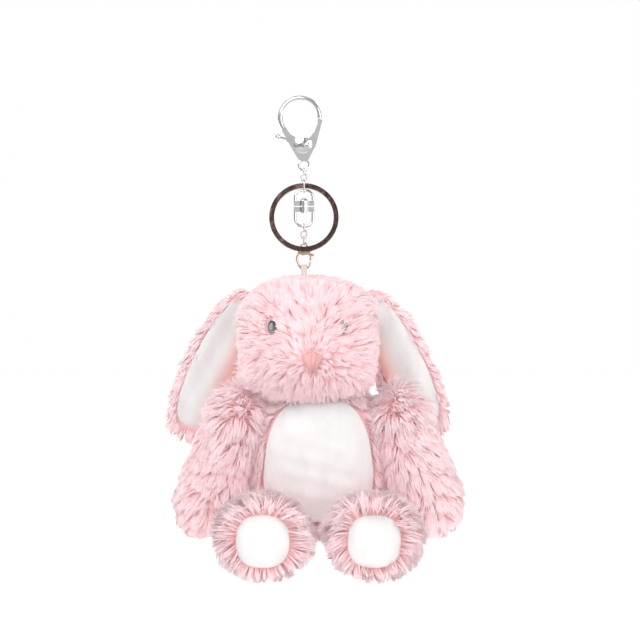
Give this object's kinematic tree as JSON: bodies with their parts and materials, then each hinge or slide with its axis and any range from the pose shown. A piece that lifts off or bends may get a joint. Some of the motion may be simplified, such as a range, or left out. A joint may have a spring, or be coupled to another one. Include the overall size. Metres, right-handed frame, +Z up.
{
  "type": "plush keychain",
  "caption": "Plush rabbit charm hanging from a trigger clasp, short chain, split ring and swivel, with jointed gates, links, ears, arms and legs.",
  "frame": {"origin": "centre of the large clasp's loop, where the hook takes a bag's ring or strap", "axes": "+Z up along the hanging line, -Y towards the viewer at the rabbit's face, +X to the viewer's right"},
  "size_m": [0.1228, 0.0724, 0.2039],
  "materials": {
    "chrome_clasp": "polished",
    "dark_nickel": "polished",
    "warm_silver": "polished",
    "rose_gold": "polished",
    "spring_steel": "satin",
    "ribbon": "satin",
    "pile": "matte",
    "velour": "matte",
    "filling": "matte",
    "nose_cloth": "satin",
    "eye_plastic": "gloss"
  },
  "bodies": {
    "clasp": {"clasp_body": "chrome_clasp", "clasp_pin": "chrome_clasp", "clasp_spring": "spring_steel"},
    "clasp_gate": {"clasp_gate": "chrome_clasp"},
    "upper_link_1": {"upper_link_1": "chrome_clasp"},
    "upper_link_2": {"upper_link_2": "chrome_clasp"},
    "ring_link": {"ring_link": "chrome_clasp"},
    "split_ring": {"split_ring": "dark_nickel"},
    "swivel_upper": {"swivel_upper_yoke": "chrome_clasp"},
    "swivel_lower": {"swivel_lower_yoke": "chrome_clasp", "swivel_rivet": "chrome_clasp"},
    "lower_link_1": {"lower_link_1": "warm_silver"},
    "lower_link_2": {"lower_link_2": "warm_silver"},
    "lower_link_3": {"lower_link_3": "warm_silver"},
    "claw": {"claw_body": "rose_gold", "claw_pin": "rose_gold", "claw_spring": "spring_steel"},
    "claw_gate": {"claw_gate": "rose_gold"},
    "rabbit": {"hanging_ribbon": "ribbon", "head_skin": "pile", "head_filling": "filling", "eye_left": "eye_plastic", "eye_right": "eye_plastic", "nose": "nose_cloth", "torso_skin": "pile", "torso_filling": "filling", "belly_panel": "velour"},
    "ear_left": {"ear_left_pile": "pile", "ear_left_lining": "velour"},
    "ear_right": {"ear_right_pile": "pile", "ear_right_lining": "velour"},
    "arm_left": {"arm_left_skin": "pile", "arm_left_filling": "filling"},
    "arm_right": {"arm_right_skin": "pile", "arm_right_filling": "filling"},
    "leg_left": {"leg_left_skin": "pile", "leg_left_filling": "filling", "sole_pad_left": "velour"},
    "leg_right": {"leg_right_skin": "pile", "leg_right_filling": "filling", "sole_pad_right": "velour"}
  },
  "joints": [
    {"name": "clasp_gate_pivot", "type": "hinge", "parent": "clasp", "child": "clasp_gate", "pos_m": [0.0032, 0, -0.012], "axis": [0, -1, 0], "range_deg": [0, 26], "stiffness_Nm_per_rad": 0.02, "springref_deg": -22.92, "deforming": ["clasp_spring"]},
    {"name": "eye_to_upper_link_1", "type": "hinge", "parent": "clasp", "child": "upper_link_1", "pos_m": [0.0017, 0, -0.0229], "axis": [1, 0, 0], "range_deg": [-25, 25]},
    {"name": "upper_link_1_to_2", "type": "hinge", "parent": "upper_link_1", "child": "upper_link_2", "pos_m": [0.0017, 0, -0.0251], "axis": [0, 1, 0], "range_deg": [-25, 25]},
    {"name": "upper_link_2_to_ring_link", "type": "hinge", "parent": "upper_link_2", "child": "ring_link", "pos_m": [0.0017, 0, -0.0275], "axis": [1, 0, 0], "range_deg": [-25, 25]},
    {"name": "split_ring_lean", "type": "hinge", "parent": "ring_link", "child": "split_ring", "pos_m": [0.0017, 0, -0.02949], "axis": [-1, 0, 0], "range_deg": [0, 60]},
    {"name": "swivel_swing", "type": "hinge", "parent": "ring_link", "child": "swivel_upper", "pos_m": [0.0017, 0, -0.03276], "axis": [0, 1, 0], "range_deg": [-12, 12]},
    {"name": "swivel_spin", "type": "hinge", "parent": "swivel_upper", "child": "swivel_lower", "pos_m": [0.0017, 0, -0.0384], "axis": [0, 0, 1], "continuous": true},
    {"name": "swivel_to_lower_link_1", "type": "hinge", "parent": "swivel_lower", "child": "lower_link_1", "pos_m": [0.0017, 0, -0.04591], "axis": [0, 1, 0], "range_deg": [-15, 15]},
    {"name": "lower_link_1_to_2", "type": "hinge", "parent": "lower_link_1", "child": "lower_link_2", "pos_m": [0.0017, 0, -0.04871], "axis": [1, 0, 0], "range_deg": [-5, 15]},
    {"name": "lower_link_2_to_3", "type": "hinge", "parent": "lower_link_2", "child": "lower_link_3", "pos_m": [0.0017, 0, -0.05151], "axis": [0, 1, 0], "range_deg": [-15, 15]},
    {"name": "lower_link_3_to_claw", "type": "hinge", "parent": "lower_link_3", "child": "claw", "pos_m": [0.0017, 0, -0.05511], "axis": [0, 1, 0], "range_deg": [-15, 15]},
    {"name": "claw_gate_pivot", "type": "hinge", "parent": "claw", "child": "claw_gate", "pos_m": [0.00334, 0, -0.05791], "axis": [0, 1, 0], "range_deg": [0, 22], "stiffness_Nm_per_rad": 0.0005, "springref_deg": -22.92, "deforming": ["claw_spring"]},
    {"name": "rabbit_swing", "type": "hinge", "parent": "claw", "child": "rabbit", "pos_m": [0.0017, 0, -0.06541], "axis": [1, 0, 0], "range_deg": [-15, 15]},
    {"name": "ear_left_swing", "type": "hinge", "parent": "rabbit", "child": "ear_left", "pos_m": [-0.0241, 0.0143, -0.078], "axis": [0, 1, 0], "range_deg": [0, 50]},
    {"name": "ear_right_swing", "type": "hinge", "parent": "rabbit", "child": "ear_right", "pos_m": [0.0309, 0.0143, -0.078], "axis": [0, -1, 0], "range_deg": [0, 50]},
    {"name": "arm_left_swing", "type": "hinge", "parent": "rabbit", "child": "arm_left", "pos_m": [-0.0263, -0.003, -0.12701], "axis": [0, 1, 0], "range_deg": [0, 35]},
    {"name": "arm_right_swing", "type": "hinge", "parent": "rabbit", "child": "arm_right", "pos_m": [0.0423, -0.003, -0.12701], "axis": [0, -1, 0], "range_deg": [0, 35]},
    {"name": "leg_left_droop", "type": "hinge", "parent": "rabbit", "child": "leg_left", "pos_m": [-0.0152, -0.007, -0.17651], "axis": [1, 0, 0], "range_deg": [0, 60], "stiffness_Nm_per_rad": 0.01, "springref_deg": -34.38},
    {"name": "leg_right_droop", "type": "hinge", "parent": "rabbit", "child": "leg_right", "pos_m": [0.0312, -0.007, -0.17651], "axis": [1, 0, 0], "range_deg": [0, 60], "stiffness_Nm_per_rad": 0.01, "springref_deg": -34.38}
  ]
}
